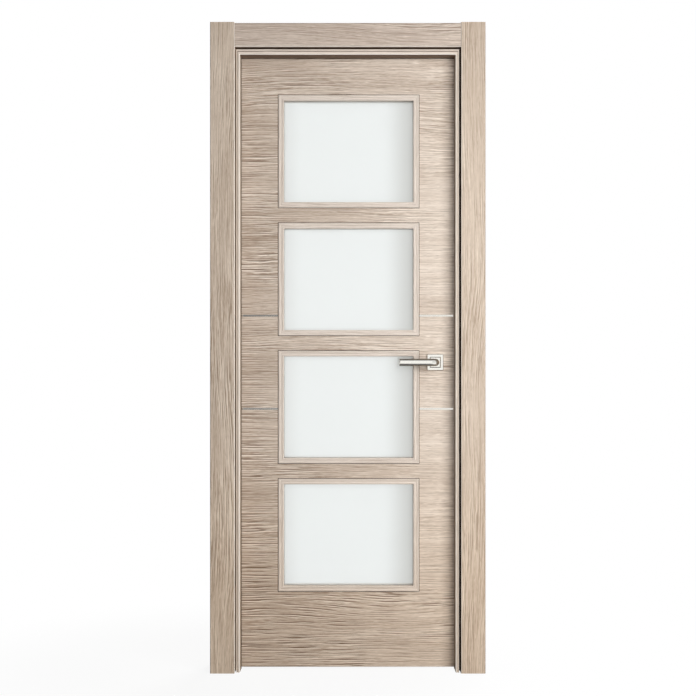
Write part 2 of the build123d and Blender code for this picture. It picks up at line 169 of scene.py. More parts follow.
class Recipe:
    """The node tree of one finish, lamp sky or floor, built node by node."""

    def __init__(self, tree: bpy.types.NodeTree) -> None:
        """Start from an empty tree."""
        self.tree = tree
        tree.nodes.clear()

    def add(
        self,
        kind: str,
        settings: Optional[Mapping[str, Any]] = None,
        inputs: Optional[Mapping[Union[str, int], Any]] = None,
    ) -> Placed:
        """Add any node.

        Args:
            kind: Blender's type name of the node.
            settings: Properties that are set before the sockets; "stops" sets a ramp's colours.
            inputs: Wires or plain values for the input sockets.

        Returns:
            The node, ready to be read.
        """
        node = self.tree.nodes.new(kind)
        for name, setting in (settings or {}).items():
            if name == "stops":
                self._set_stops(node.color_ramp, setting)
            else:
                setattr(node, name, setting)
        for name, value in (inputs or {}).items():
            if isinstance(value, Wire):
                self.tree.links.new(value.socket, node.inputs[name])
            else:
                node.inputs[name].default_value = value
        return Placed(self, node)

    @staticmethod
    def _set_stops(ramp: bpy.types.ColorRamp, stops: Sequence[tuple[float, Colour]]) -> None:
        """Give a ramp its stops.

        Args:
            ramp: A new ramp, with its two first stops.
            stops: Positions and colours, in order.
        """
        while len(ramp.elements) < len(stops):
            ramp.elements.new(1.0)
        for element, (position, colour) in zip(ramp.elements, stops):
            element.position = position
            element.color = colour

    def position(self) -> tuple[Wire, Wire, Wire]:
        """The point's x, y and z in the door's own frame, in metres."""
        return self.split(self.add("ShaderNodeTexCoord")["Object"])

    def facing(self) -> tuple[Wire, Wire, Wire]:
        """The x, y and z of the surface's direction in the door's own frame."""
        return self.split(self.add("ShaderNodeTexCoord")["Normal"])

    def split(self, vector: Wire) -> tuple[Wire, Wire, Wire]:
        """The three parts of a vector."""
        parts = self.add("ShaderNodeSeparateXYZ", inputs={"Vector": vector})
        return parts["X"], parts["Y"], parts["Z"]

    def noise(self, place: Sequence[Value], detail: float = 2.0, roughness: float = 0.5) -> Wire:
        """Smooth noise, about 0.5 in the middle.

        Args:
            place: Where to read it, three values already scaled to the noise's own size.
            detail: Number of finer layers.
            roughness: Strength of each finer layer.

        Returns:
            A value from 0 to 1.
        """
        parts = dict(zip("XYZ", place))
        vector = self.add("ShaderNodeCombineXYZ", inputs=parts)["Vector"]
        inputs = {"Vector": vector, "Scale": 1.0, "Detail": detail, "Roughness": roughness}
        return self.add("ShaderNodeTexNoise", {"noise_dimensions": "3D"}, inputs)["Fac"]

    def step(self, value: Wire, low: float, high: float) -> Wire:
        """Smooth rise from 0 to 1 between two values.

        Args:
            value: What is tested.
            low: Value at and under which the result is 0.
            high: Value at and over which the result is 1.

        Returns:
            The rise.
        """
        inputs = {"Value": value, "From Min": low, "From Max": high}
        return self.add("ShaderNodeMapRange", {"interpolation_type": "SMOOTHSTEP"}, inputs)["Result"]

    def ramp(self, value: Wire, stops: Sequence[tuple[float, Colour]]) -> Wire:
        """Colour of a value along a row of stops."""
        return self.add("ShaderNodeValToRGB", {"stops": stops}, {"Fac": value})["Color"]

    def blend(
        self,
        share: Wire,
        first: Union[Wire, Colour],
        second: Union[Wire, Colour],
        way: str = "MIX",
    ) -> Wire:
        """Mix two colours.

        Args:
            share: Share of the second colour.
            first: Colour at share 0.
            second: Colour at share 1.
            way: Blender's name for the way of mixing.

        Returns:
            The mixed colour.
        """
        settings = {"data_type": "RGBA", "blend_type": way}
        return self.add("ShaderNodeMix", settings, {0: share, 6: first, 7: second})[2]

    def bump(self, height: Wire, strength: float, distance: float) -> Wire:
        """Surface direction roughened by a height.

        Args:
            height: Height from 0 to 1.
            strength: Share of the effect.
            distance: Depth of the full height, in metres.

        Returns:
            A direction for a shader's Normal.
        """
        inputs = {"Height": height, "Strength": strength, "Distance": distance}
        return self.add("ShaderNodeBump", inputs=inputs)["Normal"]

    def surface(self, **inputs: Any) -> None:
        """Close a material with one main shader.

        Args:
            inputs: Values of the shader's sockets, with underscores in their names for spaces.
        """
        named = {name.replace("_", " "): value for name, value in inputs.items()}
        shader = self.add("ShaderNodeBsdfPrincipled", inputs=named)["BSDF"]
        self.add("ShaderNodeOutputMaterial", inputs={"Surface": shader})

    def seen(self) -> Wire:
        """One for rays from the camera or through glass, nought for other light."""
        path = self.add("ShaderNodeLightPath")
        return path["Is Camera Ray"].larger(path["Is Transmission Ray"])

    def mirrored(self) -> Wire:
        """One for rays off a shining surface, nought for other light."""
        return self.add("ShaderNodeLightPath")["Is Glossy Ray"]


def new_material(name: str) -> tuple[bpy.types.Material, Recipe]:
    """A new material and the recipe of its nodes.

    Args:
        name: The material's name.

    Returns:
        The material and its empty recipe.
    """
    material = bpy.data.materials.new(name)
    material.use_nodes = True
    return material, Recipe(material.node_tree)


class Grain(Enum):
    """Which way a board's grain runs."""

    LEVEL = "level"
    UPRIGHT = "upright"


class Side(Enum):
    """Side of the doorway that a frame board stands on, as the way that it faces the doorway."""

    HINGE = (1.0, 0.0, 0.0)
    LOCK = (-1.0, 0.0, 0.0)
    HEAD = (0.0, 0.0, -1.0)

    def inward(self, recipe: Recipe) -> Wire:
        """One where a surface turns to the doorway, nought where it turns to the wall or ahead."""
        x, _, z = recipe.facing()
        return recipe.step(x * self.value[0] + z * self.value[2], *INWARD_TURN)

    def from_wall(self, recipe: Recipe) -> Wire:
        """Distance from the wall face of the jamb on this side, in metres.

        Args:
            recipe: The finish in the making.

        Returns:
            The distance.
        """
        low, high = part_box(f"{self.name.lower()}_jamb")
        x, _, z = recipe.position()
        if self is Side.HINGE:
            return x - low.x
        return high.x - x if self is Side.LOCK else high.z - z


@dataclass(frozen=True)
class OakTones:
    """Colours of one batch of veneer, from its dark late wood to its pale early wood."""

    late: Colour = srgb(154, 135, 118)
    middle: Colour = srgb(197, 181, 166)
    early: Colour = srgb(228, 216, 203)
    pore: Colour = srgb(124, 105, 89)


class Layer(Enum):
    """Layers of the grain: pitch along and across it, place in the log, finer layers and their strength."""

    SWAY = (1.1, 4.2, 0.0, 1.0, 0.5)
    RIPPLE = (6.0, 20.0, 2.7, 2.0, 0.5)
    BANDS = (1.4, 27.0, 3.1, 2.0, 0.5)
    LIVELY = (3.4, 9.0, 5.3, 1.0, 0.5)
    LINES = (9.0, 290.0, 7.7, 3.0, 0.62)
    THREADS = (40.0, 640.0, 11.3, 1.0, 0.5)
    PORES = (50.0, 900.0, 17.9, 1.0, 0.5)
    FLECKS = (30.0, 360.0, 19.1, 1.0, 0.5)
    CLOUDS = (1.8, 4.5, 23.5, 2.0, 0.5)
    HAIRLINES = (6.5, 320.0, 29.3, 1.0, 0.5)

    def grown(self, recipe: Recipe, along: Wire, across: Wire, seed: float) -> Wire:
        """The layer's noise on one board.

        Args:
            recipe: The finish in the making.
            along: Distance along the grain.
            across: Distance across it.
            seed: The board's place in the log.

        Returns:
            A value from 0 to 1, about 0.5 in the middle.
        """
        along_pitch, across_pitch, offset, detail, roughness = self.value
        return recipe.noise((along * along_pitch, across * across_pitch, seed + offset), detail, roughness)


@dataclass(frozen=True)
class GrainWeights:
    """How strongly the layers of the grain show; a pair is for plain wood and for what lively figure adds."""

    lines: Span = (0.4, 0.8)
    threads: Span = (0.35, 0.3)
    late: Span = (0.29, 0.25)
    # Strength of the pale lines, early-wood tone with a painted glint of raised grain.
    early: Span = (0.24, 0.5)
    flecks: float = 0.16
    bands: float = 0.36
    clouds: float = 0.3
    pores: float = 0.4
    sway: float = 0.08
    ripple: float = 0.006

    @staticmethod
    def where(lively: Wire, pair: Span) -> Wire:
        """A layer's weight, from its pair and the liveliness of the figure."""
        return pair[0] + lively * pair[1]


@dataclass(frozen=True)
class Moulding:
    """Depths of a jamb's painted lip highlight and of its groove, turn and share of its painted soffit shade,
    and distances of the groove from the wall face, in metres.
    """

    lip_depths: Span = (-0.04, -0.0445)
    reach_depths: Span = (-0.043, -0.047)
    lip_highlight_share: float = 0.55
    soffit_turn: Span = (-0.6, -0.9)
    soffit_shade_share: float = 0.85
    # Bounds of the painted light and shade inside the groove, and of the painted shade beside it.
    groove_rim: float = 0.0254
    groove_front: float = -0.015
    round_edge: Span = (0.0183, 0.0198)


@dataclass(frozen=True)
class OakVeneer:
    """Greyed oak veneer, open-pored and matt, each board cut from its own place in the log."""

    grain: Grain
    seed: float
    tones: OakTones = OakTones()
    banded_edges: bool = False
    # Painted light: tone rises towards the lock side and falls towards the hinge side, per metre from the
    # doorway's middle.
    painted_light_drift: float = 0.0
    figure: float = 1.0
    side: Optional[Side] = None
    lipped: bool = False
    # Colour painted in the jamb's groove and on the architrave's side beside it: painted light on the hinge
    # side, painted shade on the lock side.
    groove: Optional[Colour] = None
    # How far the painted highlight runs back from the front on the jamb's face that turns to the doorway, in
    # metres.
    lip_highlight_reach: float = 0.0
    # Whether the rebates cut to the core get the core's colour, darkened as painted shade.
    cored_and_shaded: bool = False
    sheen: float = 0.2
    # Offset of the pale line beside each hairline, a painted glint of raised grain.
    glint_offset: float = 0.003
    weights: GrainWeights = GrainWeights()
    moulding: Moulding = Moulding()
    middle_tone: float = 0.51
    fade_across: float = 1.6
    foot_heights: Span = (0.5, 0.2)
    foot_figure: float = 1.5
    warm_heights: Span = (0.95, 0.15)
    warm_share: float = 0.5
    edge_turn: float = 0.7
    arris_turn: Span = (0.01, 0.1)
    # Share of the painted highlight on eased edges.
    arris_highlight_share: float = 0.7
    # Share of painted shade on the eased edges that turn away from the doorway.
    outer_arris_shade_share: float = 0.4
    core_depths: Span = (0.0004, 0.0008)
    core_border: float = 0.002
    roughness: float = 0.56
    relief_share: float = 0.4
    relief_depth: float = 0.0008

    def axes(self, recipe: Recipe) -> tuple[Wire, Wire]:
        """Distances along and across the grain, in metres.

        Args:
            recipe: The finish in the making.

        Returns:
            Along and across.
        """
        x, y, z = recipe.position()
        if self.grain is Grain.UPRIGHT:
            return z, x + y
        if not self.banded_edges:
            return x, z + y
        edge = abs(recipe.facing()[0]) > self.edge_turn
        return x + edge * (z - x), y + (1 - edge) * z

    def arris(self, recipe: Recipe) -> Wire:
        """One on the eased edges of a board, nought on its flat faces."""
        x, y, z = recipe.facing()
        return recipe.step(1 - abs(x).larger(abs(y)).larger(abs(z)), *self.arris_turn)

    def edged(self, recipe: Recipe, wood: Wire) -> Wire:
        """Paint highlights on a board's eased edges, palest towards the doorway, painted shade on its outer
        eased edges, and painted shade on its side next to a groove.

        Args:
            recipe: The finish in the making.
            wood: Colour of the flat faces.

        Returns:
            The colour with its painted edge highlights and painted shade.
        """
        arris = self.arris(recipe)
        if self.side is None:
            # Painted highlight on every eased edge.
            return recipe.blend(arris * self.arris_highlight_share, wood, PAINTED_EDGE_HIGHLIGHT)
        inward = self.side.inward(recipe)
        # Painted shade, in the late-wood tone, on the eased edges that turn away from the doorway.
        wood = recipe.blend(arris * (1 - inward) * self.outer_arris_shade_share, wood, self.tones.late)
        # Painted highlight on the eased edges that turn to the doorway.
        wood = recipe.blend(arris * inward, wood, PAINTED_DOORWAY_HIGHLIGHT)
        if self.groove is None or self.lipped:
            return wood
        # Painted shade, in the groove's colour, on the board's side and edge beside the groove.
        painted_rim_shade = recipe.step(self.side.from_wall(recipe), *self.moulding.round_edge)
        return recipe.blend(painted_rim_shade, wood, self.groove)

    def moulded(self, recipe: Recipe, wood: Wire) -> Wire:
        """Colour a jamb's lip with a painted highlight, its soffit with painted shade and its deep groove
        with painted light and shade.

        Args:
            recipe: The finish in the making.
            wood: Colour of the plain board.

        Returns:
            The colour with its painted highlights, light and shade.
        """
        moulding = self.moulding
        depth = recipe.position()[1]
        # Painted highlight on the lip at the jamb's front.
        lip = recipe.step(depth, *moulding.lip_depths)
        wood = recipe.blend(lip * moulding.lip_highlight_share, wood, PAINTED_LIP_HIGHLIGHT)
        # Painted shade on the faces that turn down, under the head.
        soffit = recipe.step(recipe.facing()[2], *moulding.soffit_turn)
        wood = recipe.blend(soffit * moulding.soffit_shade_share, wood, PAINTED_SOFFIT_SHADE)
        # Painted highlight on the jamb's face that turns to the doorway, from its front back to the reach.
        if self.lip_highlight_reach:
            start, full = [self.lip_highlight_reach + place for place in moulding.reach_depths]
            wood = recipe.blend(self.side.inward(recipe) * recipe.step(depth, start, full), wood, PAINTED_DOORWAY_HIGHLIGHT)
        if self.groove is None:
            return wood
        # Painted light and shade inside the groove: pale on the hinge side, dark on the lock side.
        painted_groove_mask = (self.side.from_wall(recipe) < moulding.groove_rim) * (depth < moulding.groove_front)
        return recipe.blend(painted_groove_mask, wood, self.groove)

    def hairlines(self, recipe: Recipe, along: Wire, across: Wire) -> Wire:
        """Thin long lines of late wood.

        Args:
            recipe: The finish in the making.
            along: Distance along the grain.
            across: Distance across it.

        Returns:
            One on the lines, nought between them.
        """
        return recipe.step(Layer.HAIRLINES.grown(recipe, along, across, self.seed), 0.54, 0.62)

    def cut_core(self, recipe: Recipe) -> Wire:
        """One where the leaf's faces are cut down to its core board, nought on veneer and lipped edges.

        Args:
            recipe: The finish in the making.

        Returns:
            The mask.
        """
        low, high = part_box("leaf_slab")
        middle = (low + high) / 2
        half = (high - low) / 2
        x, y, z = recipe.position()
        start, full = [half.y - depth for depth in self.core_depths]
        under_face = recipe.step(abs(y - middle.y), start, full)
        beside = abs(x - middle.x) < half.x - self.core_border
        return under_face * (beside * (abs(z - middle.z) < half.z - self.core_border))

    def material(self, name: str) -> bpy.types.Material:
        """Make the veneer.

        Args:
            name: The material's name.

        Returns:
            The finished material.
        """
        material, recipe = new_material(name)
        weights = self.weights
        along, across = self.axes(recipe)
        sway = Layer.SWAY.grown(recipe, along, across, self.seed)
        ripple = Layer.RIPPLE.grown(recipe, along, across, self.seed)
        across = across + (sway - 0.5) * weights.sway + (ripple - 0.5) * weights.ripple
        bands = Layer.BANDS.grown(recipe, along, across, self.seed)
        lively = recipe.step(Layer.LIVELY.grown(recipe, along, across, self.seed), 0.42, 0.64)
        lines = Layer.LINES.grown(recipe, along, across, self.seed)
        threads = Layer.THREADS.grown(recipe, along, across, self.seed)
        pores = recipe.step(Layer.PORES.grown(recipe, along, across, self.seed), 0.56, 0.72)
        flecks = recipe.step(Layer.FLECKS.grown(recipe, along, across, self.seed), 0.6, 0.76)
        clouds = Layer.CLOUDS.grown(recipe, along, across, self.seed)
        late_lines = self.hairlines(recipe, along, across)
        # Pale line beside each dark hairline: early-wood tone and a painted glint of raised grain.
        early_lines_and_glint = self.hairlines(recipe, along, across + self.glint_offset) * (1 - late_lines)
        fine = (lines - 0.5) * weights.where(lively, weights.lines)
        streaks = fine + (threads - 0.5) * weights.where(lively, weights.threads) + flecks * weights.flecks
        broad = (bands - 0.5) * weights.bands
        tone = self.middle_tone + streaks * self.figure + broad + (clouds - 0.5) * weights.clouds
        height = recipe.position()[2]
        contrast: Value = self.figure
        if self.painted_light_drift:
            from_middle = recipe.position()[0] - DOORWAY_MIDDLE
            # Painted light: the leaf lighter towards the lock side.
            tone = tone + from_middle * self.painted_light_drift
            foot = recipe.step(height, *self.foot_heights)
            contrast = self.figure * (1 - from_middle * self.fade_across) * (1 + foot * self.foot_figure)
        wood = recipe.ramp(tone, ((0.2, self.tones.late), (0.5, self.tones.middle), (0.8, self.tones.early)))
        late_share = late_lines * weights.where(lively, weights.late) * contrast
        wood = recipe.blend(late_share, wood, self.tones.pore)
        early_and_glint_share = early_lines_and_glint * weights.where(lively, weights.early) * contrast
        wood = recipe.blend(early_and_glint_share, wood, self.tones.early)
        # Colour turns warmer and a little darker towards the foot.
        warmth = recipe.step(height, *self.warm_heights) * self.warm_share
        wood = recipe.blend(warmth, wood, WARM_TINT, "MULTIPLY")
        open_pores = pores * recipe.step(lines, 0.62, 0.42)
        wood = recipe.blend(open_pores * weights.pores, wood, self.tones.pore)
        if self.lipped:
            wood = self.moulded(recipe, wood)
        wood = self.edged(recipe, wood)
        if self.cored_and_shaded:
            # Core board's colour in the rebates round the beads, darkened as a painted shadow line.
            wood = recipe.blend(self.cut_core(recipe), wood, CORE_AND_PAINTED_SHADE)
        relief = lines * 0.5 + threads * 0.3 - open_pores
        recipe.surface(
            Base_Color=wood,
            Roughness=self.roughness + open_pores * 0.16 + (threads - 0.5) * 0.15,
            Specular_IOR_Level=self.sheen,
            Normal=recipe.bump(relief, self.relief_share, self.relief_depth),
        )
        return material


@dataclass(frozen=True)
class EtchedGlass:
    """White pane, acid-etched to a satin face, with painted shade along its edges, widest on the lock side.
    """

    tint: Colour = srgb(243, 246, 245)
    # Painted shade along the pane's edges, widest on the lock side, narrower and fainter at the hinge side
    # and the head.
    painted_border_shade: Colour = srgb(214, 215, 212)
    lock_border: float = 0.26
    hinge_border: float = 0.16
    head_border: float = 0.1
    hinge_share: float = 0.35
    head_share: float = 0.1
    cloud_share: float = 0.05
    cloud_pitch: float = 9.0
    frost_pitch: float = 1900.0
    roughness: float = 0.62
    through: float = 0.85

    def material(self, name: str) -> bpy.types.Material:
        """Make the glass.

        Args:
            name: The material's name.

        Returns:
            The finished material.
        """
        material, recipe = new_material(name)
        place = recipe.position()
        cloud = recipe.noise([part * self.cloud_pitch for part in place], 2.0)
        frost = recipe.noise([part * self.frost_pitch for part in place], 1.0)
        across, _, up = recipe.split(recipe.add("ShaderNodeTexCoord")["Generated"])
        # Painted shade: wide on the lock side, narrow and faint at the hinge side and the head.
        lock_side = recipe.step(1 - across, self.lock_border, 0.0)
        hinge_side = recipe.step(across, self.hinge_border, 0.0) * self.hinge_share
        head_side = recipe.step(1 - up, self.head_border, 0.0) * self.head_share
        shade = lock_side.larger(hinge_side).larger(head_side)
        recipe.surface(
            Base_Color=recipe.blend(shade + cloud * self.cloud_share, self.tint, self.painted_border_shade),
            Roughness=self.roughness + (frost - 0.5) * 0.2 + (cloud - 0.5) * 0.1,
            IOR=1.2,
            Specular_IOR_Level=0.3,
            Transmission_Weight=self.through,
            Normal=recipe.bump(frost, 0.1, 0.00005),
        )
        return material


class Brush(Enum):
    """Direction of the fine lines left by brushing."""

    LEVEL = (0.05, 1.0, 1.0)
    UPRIGHT = (1.0, 1.0, 0.05)


@dataclass(frozen=True)
class SatinMetal:
    """Metal brushed to a soft shine."""

    colour: Colour
    roughness: float
    brush: Brush
    # Share of painted shade and dark reflection on the upper and lower flanks.
    flank_shade_share: float = 0.0
    painted_shade_turn: Span = (0.5, 0.8)
    line_pitch: float = 2600.0
    line_shade: float = 0.82
    line_share: float = 0.5
    handling_pitch: float = 55.0

    def material(self, name: str) -> bpy.types.Material:
        """Make the metal.

        Args:
            name: The material's name.

        Returns:
            The finished material.
        """
        material, recipe = new_material(name)
        place = recipe.position()
        stretched = [part * share * self.line_pitch for part, share in zip(place, self.brush.value)]
        lines = recipe.noise(stretched, 3.0, 0.65)
        handling = recipe.noise([part * self.handling_pitch for part in place], 3.0)
        shade = tuple(level * self.line_shade for level in self.colour[:3]) + (1.0,)
        metal = recipe.blend(recipe.step(lines, 0.35, 0.7) * self.line_share, self.colour, shade)
        if self.flank_shade_share:
            # Painted shade and dark reflection: the upper and lower flanks darker.
            flank_shade_share = recipe.step(abs(recipe.facing()[2]), *self.painted_shade_turn) * self.flank_shade_share
            metal = recipe.blend(flank_shade_share, metal, PAINTED_FLANK_SHADE)
        recipe.surface(
            Base_Color=metal,
            Metallic=1.0,
            Roughness=self.roughness + (lines - 0.5) * 0.1 + (handling - 0.5) * 0.06,
            Normal=recipe.bump(lines, 0.05, 0.00003),
        )
        return material


@dataclass(frozen=True)
class SealRubber:
    """Brown foamed rubber with a dull skin."""

    colour: Colour = srgb(74, 59, 48)
    speck: Colour = srgb(58, 46, 38)
    grit_pitch: float = 900.0

    def material(self, name: str) -> bpy.types.Material:
        """Make the rubber.

        Args:
            name: The material's name.

        Returns:
            The finished material.
        """
        material, recipe = new_material(name)
        grit = recipe.noise([part * self.grit_pitch for part in recipe.position()], 3.0)
        recipe.surface(
            Base_Color=recipe.blend(grit, self.colour, self.speck),
            Roughness=0.68 + (grit - 0.5) * 0.3,
            Normal=recipe.bump(grit, 0.2, 0.0002),
        )
        return material


Finish = Union[OakVeneer, EtchedGlass, SatinMetal, SealRubber]

SATIN_NICKEL = SatinMetal(srgb(250, 248, 241), 0.09, Brush.LEVEL)
LEVER_NICKEL = SatinMetal(srgb(250, 248, 241), 0.09, Brush.LEVEL, flank_shade_share=0.9)
INLAY_ALUMINIUM = SatinMetal(srgb(238, 236, 229), 0.15, Brush.LEVEL)
HINGE_STEEL = SatinMetal(srgb(198, 194, 188), 0.32, Brush.UPRIGHT)
FRAME_TONES = OakTones(srgb(151, 131, 112), srgb(193, 176, 159), srgb(223, 209, 193), srgb(121, 101, 84))
HEAD_TONES = OakTones(srgb(152, 134, 118), srgb(193, 177, 164), srgb(223, 210, 197), srgb(121, 102, 88))
BEAD_TONES = OakTones(srgb(192, 178, 166), srgb(207, 195, 184), srgb(222, 211, 201), srgb(172, 156, 143))


def dress(finish: Finish, name: str, nodes: Sequence[str]) -> None:
    """Put one finish on some of the door's own pieces.

    Args:
        finish: What they are made of.
        name: The material's name.
        nodes: Names of the pieces.
    """
    material = finish.material(name)
    for node in nodes:
        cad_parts[node].material_slots[0].material = material
        LOG.info("%s: %s", node, name)


def finished_piece(name: str, mesh: bmesh.types.BMesh) -> bpy.types.Object:
    """Turn a mesh in the making into a smooth-shaded object with crisp edges.

    Args:
        name: The object's name.
        mesh: The mesh, which is used up.

    Returns:
        The object, linked to the scene.
    """
    bmesh.ops.recalc_face_normals(mesh, faces=mesh.faces)
    data = bpy.data.meshes.new(name)
    mesh.to_mesh(data)
    mesh.free()
    data.shade_smooth()
    data.set_sharp_from_angle(angle=CRISP_ANGLE)
    piece = bpy.data.objects.new(name, data)
    bpy.context.scene.collection.objects.link(piece)
    return piece


@dataclass(frozen=True)
class ScrewHead:
    """Countersunk screw head with a cross recess, a hair proud of its plate."""

    radius: float = 0.0036
    rise: float = 0.00035
    sink: float = 0.0008
    arm_reach: float = 0.0019
    arm_width: float = 0.0008
    recess: float = 0.0011
    recess_taper: float = 0.7
    dome: tuple[Span, ...] = ((1.0, 0.3), (0.88, 0.8), (0.66, 1.0))
    sides: int = 32

    def add_to(self, mesh: bmesh.types.BMesh, centre: Vector, facing: Vector) -> None:
        """Add one head to a mesh.

        Args:
            mesh: Mesh that takes the head.
            centre: Middle of the head, on the plate's face.
            facing: Direction that the plate faces.
        """
        turn = facing.to_track_quat("Z", "Y")
        rings = [self._ring(mesh, self.radius, -self.sink)]
        for width, height in self.dome:
            rings.append(self._ring(mesh, width * self.radius, height * self.rise))
        for lower, upper in zip(rings, rings[1:]):
            self._join(mesh, lower, upper)
        mesh.faces.new(reversed(rings[0]))
        lip = self._cross(mesh, 1.0, self.rise)
        floor = self._cross(mesh, self.recess_taper, self.rise - self.recess)
        self._join(mesh, lip, floor)
        mesh.faces.new(floor)
        rim_edges = self._loop_edges(mesh, rings[-1]) + self._loop_edges(mesh, lip)
        bmesh.ops.triangle_fill(mesh, use_beauty=True, use_dissolve=False, edges=rim_edges)
        for vertex in [corner for ring in (*rings, lip, floor) for corner in ring]:
            vertex.co = centre + turn @ vertex.co

    def _ring(self, mesh: bmesh.types.BMesh, radius: float, height: float) -> Corners:
        """A circle of corners.

        Args:
            mesh: Mesh that takes the corners.
            radius: The circle's radius.
            height: Its height over the plate.

        Returns:
            The corners in order.
        """
        angles = [math.tau * index / self.sides for index in range(self.sides)]
        corners = [(radius * math.cos(angle), radius * math.sin(angle), height) for angle in angles]
        return [mesh.verts.new(corner) for corner in corners]

    def _cross(self, mesh: bmesh.types.BMesh, share: float, height: float) -> Corners:
        """The twelve corners of a cross.

        Args:
            mesh: Mesh that takes the corners.
            share: Share of the recess's full size.
            height: The cross's height over the plate.

        Returns:
            The corners in order.
        """
        reach = share * self.arm_reach
        half = share * self.arm_width / 2
        quarter = [(reach, -half), (reach, half), (half, half)]
        corners = []
        for turn in range(4):
            cosine = round(math.cos(turn * math.pi / 2))
            sine = round(math.sin(turn * math.pi / 2))
            corners += [(cosine * x - sine * y, sine * x + cosine * y, height) for x, y in quarter]
        return [mesh.verts.new(corner) for corner in corners]

    @staticmethod
    def _join(mesh: bmesh.types.BMesh, lower: Corners, upper: Corners) -> None:
        """Close the band between two loops of as many corners."""
        for index, corner in enumerate(lower):
            mesh.faces.new((corner, lower[index - 1], upper[index - 1], upper[index]))

    @staticmethod
    def _loop_edges(mesh: bmesh.types.BMesh, loop: Corners) -> list[bmesh.types.BMEdge]:
        """The edges round a loop of corners."""
        return [mesh.edges.get((loop[index - 1], corner)) for index, corner in enumerate(loop)]

    def piece(self, name: str, centres: Sequence[Vector], facing: Vector) -> bpy.types.Object:
        """One object with several heads.

        Args:
            name: The object's name.
            centres: Middles of the heads.
            facing: Direction that they face.

        Returns:
            The object, linked to the scene.
        """
        mesh = bmesh.new()
        for centre in centres:
            self.add_to(mesh, centre, facing)
        return finished_piece(name, mesh)


def fasten(piece: bpy.types.Object, body: str, material: bpy.types.Material) -> None:
    """Hand an added piece to its body and its finish.

    Args:
        piece: The added piece.
        body: The body that it moves with.
        material: What it is made of.
    """
    piece.data.materials.append(material)
    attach(piece, body)
    LOG.info("%s: on the %s", piece.name, body)


@dataclass
class DoorFrame:
    """Jambs, architraves and seals, fixed to the wall."""

    boards: tuple[tuple[str, Side], ...] = (
        ("hinge_jamb", Side.HINGE),
        ("lock_jamb", Side.LOCK),
        ("front_architrave_left", Side.HINGE),
        ("front_architrave_right", Side.LOCK),
        ("back_architrave_left", Side.HINGE),
        ("back_architrave_right", Side.LOCK),
        ("head_jamb", Side.HEAD),
        ("front_architrave_head", Side.HEAD),
        ("back_architrave_head", Side.HEAD),
    )
    # Colours painted in the shadow grooves: painted light in the hinge jamb's, painted shade in the lock
    # jamb's and on the right architrave's side beside it.
    painted_groove_light_and_shade: tuple[tuple[str, Colour], ...] = (
        ("hinge_jamb", srgb(225, 208, 190)),
        ("lock_jamb", srgb(36, 25, 16)),
        ("front_architrave_right", srgb(80, 62, 47)),
    )
    seals: tuple[str, ...] = ("hinge_jamb_seal", "lock_jamb_seal", "head_seal")
    log_step: float = 5.3
    hinge_figure: float = 1.0
    lock_figure: float = 0.68
    head_figure: float = 1.1
    # Reach of the painted highlight on the lock jamb's doorway face.
    lock_lip_highlight: float = 0.022

    def dress(self) -> None:
        """Veneer every board from its own place in the log, and colour the seals."""
        painted_groove_light_and_shade = dict(self.painted_groove_light_and_shade)
        figures = {Side.HINGE: self.hinge_figure, Side.LOCK: self.lock_figure, Side.HEAD: self.head_figure}
        for index, (board, side) in enumerate(self.boards, 1):
            finish = OakVeneer(
                Grain.LEVEL if side is Side.HEAD else Grain.UPRIGHT,
                index * self.log_step,
                HEAD_TONES if side is Side.HEAD else FRAME_TONES,
                figure=figures[side],
                side=side,
                lipped=board.endswith("jamb"),
                groove=painted_groove_light_and_shade.get(board),
                lip_highlight_reach=self.lock_lip_highlight if board == "lock_jamb" else 0.0,
                sheen=0.0,
            )
            dress(finish, f"oak_{board}", [board])
        dress(SealRubber(), "seal_rubber", self.seals)


@dataclass
class Leaf:
    """Veneered slab with its metal inlays."""

    seed: float = 61.7

    def dress(self) -> None:
        """Veneer the slab with level grain, upright on its long edges, and finish the inlays."""
        veneer = OakVeneer(Grain.LEVEL, self.seed, banded_edges=True, painted_light_drift=0.3, figure=1.15, cored_and_shaded=True)
        dress(veneer, "oak_leaf", ["leaf_slab"])
        dress(INLAY_ALUMINIUM, "inlay_aluminium", ["front_inlays", "back_inlays"])


@dataclass
class Glazing:
    """Etched panes and the mitred beads that hold them."""

    pane_count: int = 4
    across_seed: float = 83.1
    upright_seed: float = 91.4

    def dress(self) -> None:
        """Frost the panes and veneer the beads along their lengths."""
        panes = [f"glass_pane_{number}" for number in range(1, self.pane_count + 1)]
        dress(EtchedGlass(), "etched_glass", panes)
        lying = OakVeneer(Grain.LEVEL, self.across_seed, BEAD_TONES)
        standing = OakVeneer(Grain.UPRIGHT, self.upright_seed, BEAD_TONES)
        dress(lying, "oak_beads_across", ["front_beads_across", "back_beads_across"])
        dress(standing, "oak_beads_upright", ["front_beads_upright", "back_beads_upright"])


